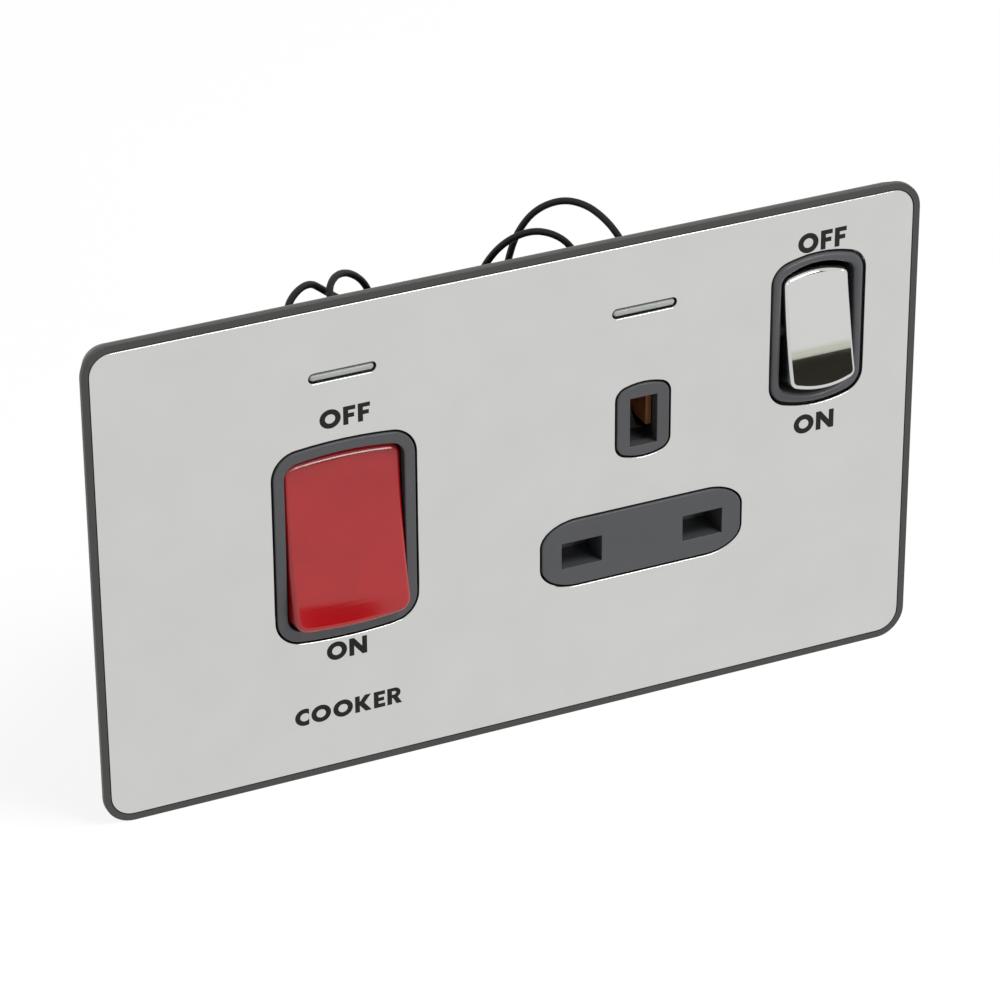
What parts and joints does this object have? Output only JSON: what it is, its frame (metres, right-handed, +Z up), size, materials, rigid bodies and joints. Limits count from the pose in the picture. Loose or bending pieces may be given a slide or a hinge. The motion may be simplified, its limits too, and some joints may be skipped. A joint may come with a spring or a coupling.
{
  "type": "cooker control unit",
  "caption": "Flush wall unit with a red cooker isolator rocker, a chrome rocker with a three-pin socket, polished steel plate, dark rim and slot indicators.",
  "frame": {"origin": "on the wall plane, behind the middle of the face plate, midway between the wall-box screws", "axes": "+X right along the plate, +Y into the wall, +Z up"},
  "size_m": [0.1468, 0.0356, 0.0866],
  "materials": {
    "polished_steel": "polished",
    "carrier_plastic": "satin",
    "zinc_steel": "zinc plated",
    "grey_thermoset": "satin",
    "red_plastic": "gloss",
    "chrome_rocker": "plated",
    "white_plastic": "moulded",
    "spring_steel": "drawn wire",
    "brass": "stamped",
    "copper": "stamped copper",
    "shutter_plastic": "moulded",
    "lens": "translucent",
    "lamp_glass": "clear",
    "lead_sleeve": "satin"
  },
  "bodies": {
    "unit": {"face_plate": "polished_steel", "plate_carrier": "carrier_plastic", "support_frame": "zinc_steel", "frame_rivets": "zinc_steel", "front_housing": "grey_thermoset", "rear_housing": "grey_thermoset", "housing_screws": "zinc_steel", "terminal_screws": "brass", "supply_terminal_live": "brass", "supply_terminal_neutral": "brass", "load_terminal_live": "brass", "load_terminal_neutral": "brass", "earth_terminal": "brass", "socket_feed_link": "brass", "socket_line_contact": "brass", "socket_neutral_contact": "brass", "socket_earth_contact": "copper", "shutter_spring": "spring_steel", "cooker_indicator_lens": "lens", "socket_indicator_lens": "lens", "cooker_indicator_lamp": "lamp_glass", "socket_indicator_lamp": "lamp_glass", "cooker_lead_left": "lead_sleeve", "cooker_lead_right": "lead_sleeve", "socket_lead_left": "lead_sleeve", "socket_lead_right": "lead_sleeve"},
    "cooker_rocker": {"cooker_rocker": "red_plastic", "cooker_spring_live": "spring_steel", "cooker_spring_neutral": "spring_steel"},
    "cooker_plunger_live": {"cooker_plunger_live": "white_plastic"},
    "cooker_plunger_neutral": {"cooker_plunger_neutral": "white_plastic"},
    "cooker_lever_live": {"cooker_lever_live": "copper"},
    "cooker_lever_neutral": {"cooker_lever_neutral": "copper"},
    "socket_rocker": {"socket_rocker": "chrome_rocker", "socket_spring": "spring_steel"},
    "socket_plunger": {"socket_plunger": "white_plastic"},
    "socket_lever": {"socket_lever": "copper"},
    "shutter": {"shutter": "shutter_plastic"}
  },
  "joints": [
    {"name": "cooker_rocker_hinge", "type": "hinge", "parent": "unit", "child": "cooker_rocker", "pos_m": [-0.0301, -0.0012, 0.0001], "axis": [1, 0, 0], "range_deg": [0, 16]},
    {"name": "cooker_lever_live_hinge", "type": "hinge", "parent": "unit", "child": "cooker_lever_live", "pos_m": [-0.0356, 0.01, 0.0001], "axis": [1, 0, 0], "range_deg": [-16, 0]},
    {"name": "cooker_lever_neutral_hinge", "type": "hinge", "parent": "unit", "child": "cooker_lever_neutral", "pos_m": [-0.0246, 0.01, 0.0001], "axis": [1, 0, 0], "range_deg": [-16, 0]},
    {"name": "cooker_plunger_live_slide", "type": "slide", "parent": "cooker_rocker", "child": "cooker_plunger_live", "axis": [0, -0.9903, 0.1392], "range_m": [0, 0.0006], "stiffness_N_per_m": 2000, "springref_m": -0.001, "deforming": ["cooker_spring_live"]},
    {"name": "cooker_plunger_neutral_slide", "type": "slide", "parent": "cooker_rocker", "child": "cooker_plunger_neutral", "axis": [0, -0.9903, 0.1392], "range_m": [0, 0.0006], "stiffness_N_per_m": 2000, "springref_m": -0.001, "deforming": ["cooker_spring_neutral"]},
    {"name": "socket_rocker_hinge", "type": "hinge", "parent": "unit", "child": "socket_rocker", "pos_m": [0.05485, -0.0012, 0.0193], "axis": [1, 0, 0], "range_deg": [0, 23]},
    {"name": "socket_lever_hinge", "type": "hinge", "parent": "unit", "child": "socket_lever", "pos_m": [0.05485, 0.01, 0.0193], "axis": [1, 0, 0], "range_deg": [-18.4, 0]},
    {"name": "socket_plunger_slide", "type": "slide", "parent": "socket_rocker", "child": "socket_plunger", "axis": [0, -0.9799, 0.1994], "range_m": [0, 0.0006], "stiffness_N_per_m": 2000, "springref_m": -0.001, "deforming": ["socket_spring"]},
    {"name": "shutter_slide", "type": "slide", "parent": "unit", "child": "shutter", "axis": [0, 0, -1], "range_m": [0, 0.0054], "stiffness_N_per_m": 150, "springref_m": -0.002, "deforming": ["shutter_spring"]}
  ],
  "couplings": [
    {"joint": "cooker_lever_live_hinge", "follows": "cooker_rocker_hinge", "ratio": -1},
    {"joint": "cooker_lever_neutral_hinge", "follows": "cooker_rocker_hinge", "ratio": -1},
    {"joint": "socket_lever_hinge", "follows": "socket_rocker_hinge", "ratio": -0.8}
  ]
}
